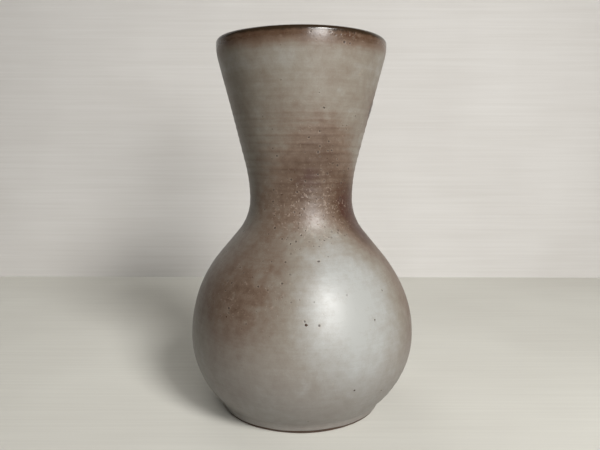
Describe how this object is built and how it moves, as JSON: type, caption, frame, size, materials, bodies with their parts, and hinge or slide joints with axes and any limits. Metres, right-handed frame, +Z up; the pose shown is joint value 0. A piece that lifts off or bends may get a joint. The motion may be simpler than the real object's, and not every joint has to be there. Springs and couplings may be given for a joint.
{
  "type": "stoneware vase",
  "caption": "Wheel-thrown stoneware vase with a round belly, a narrow waist and a neck that flares to a dark-edged open mouth, glazed inside and out with a bare foot.",
  "frame": {"origin": "centre of the foot ring, in the plane that rests on the table", "axes": "+Z up along the axis of the pot, -Y towards the front, +X to the right as seen from the front"},
  "size_m": [0.1606, 0.1606, 0.26],
  "materials": {
    "stoneware_clay": "matte bare iron-bearing stoneware",
    "luting_slip": "matte fired clay slip",
    "outside_glaze": "satin grey-mauve glaze breaking to brown",
    "liner_glaze": "gloss dark brown liner glaze",
    "lip_glaze": "gloss dark brown",
    "iron_mark": "satin near-black iron"
  },
  "bodies": {
    "root": {"belly_section": "stoneware_clay", "neck_section": "stoneware_clay", "waist_luting_slip": "luting_slip", "outside_glaze": "outside_glaze", "liner_glaze": "liner_glaze", "lip_glaze_band": "lip_glaze", "neck_glaze_pool": "iron_mark", "iron_spots": "iron_mark"}
  },
  "joints": []
}
